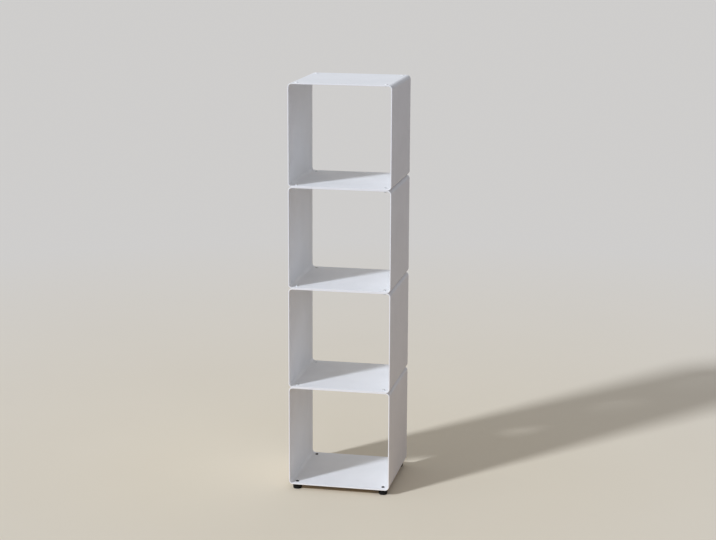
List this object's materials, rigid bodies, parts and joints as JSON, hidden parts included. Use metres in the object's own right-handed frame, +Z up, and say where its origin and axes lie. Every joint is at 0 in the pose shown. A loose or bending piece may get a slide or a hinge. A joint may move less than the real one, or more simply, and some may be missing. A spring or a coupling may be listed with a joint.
{
  "type": "bookcase",
  "caption": "Slim free-standing bookcase: a column of square folded-steel boxes, open at front and back, bolted one on another through their corners and standing on rubber feet.",
  "frame": {"origin": "on the floor, under the middle of the column", "axes": "+Z up, front towards -Y, +X to the right seen from the front"},
  "size_m": [0.25, 0.25, 1.0034],
  "materials": {
    "white_coat": "satin white powder coat with a faint orange peel",
    "zinc_steel": "bright zinc plate",
    "black_steel": "matt black",
    "black_rubber": "matt moulded rubber",
    "white_plastic": "satin moulded plastic"
  },
  "bodies": {
    "root": {"bottom_module": "white_coat", "lower_module": "white_coat", "upper_module": "white_coat", "top_module": "white_coat", "foot_front_left": "black_rubber", "foot_front_right": "black_rubber", "foot_back_left": "black_rubber", "foot_back_right": "black_rubber", "foot_screws": "black_steel", "foot_washers": "zinc_steel", "foot_nuts": "zinc_steel", "top_hole_plugs": "white_plastic", "lower_joint_screws": "zinc_steel", "lower_joint_washers": "zinc_steel", "lower_joint_nuts": "zinc_steel", "middle_joint_screws": "zinc_steel", "middle_joint_washers": "zinc_steel", "middle_joint_nuts": "zinc_steel", "upper_joint_screws": "zinc_steel", "upper_joint_washers": "zinc_steel", "upper_joint_nuts": "zinc_steel"}
  },
  "joints": []
}
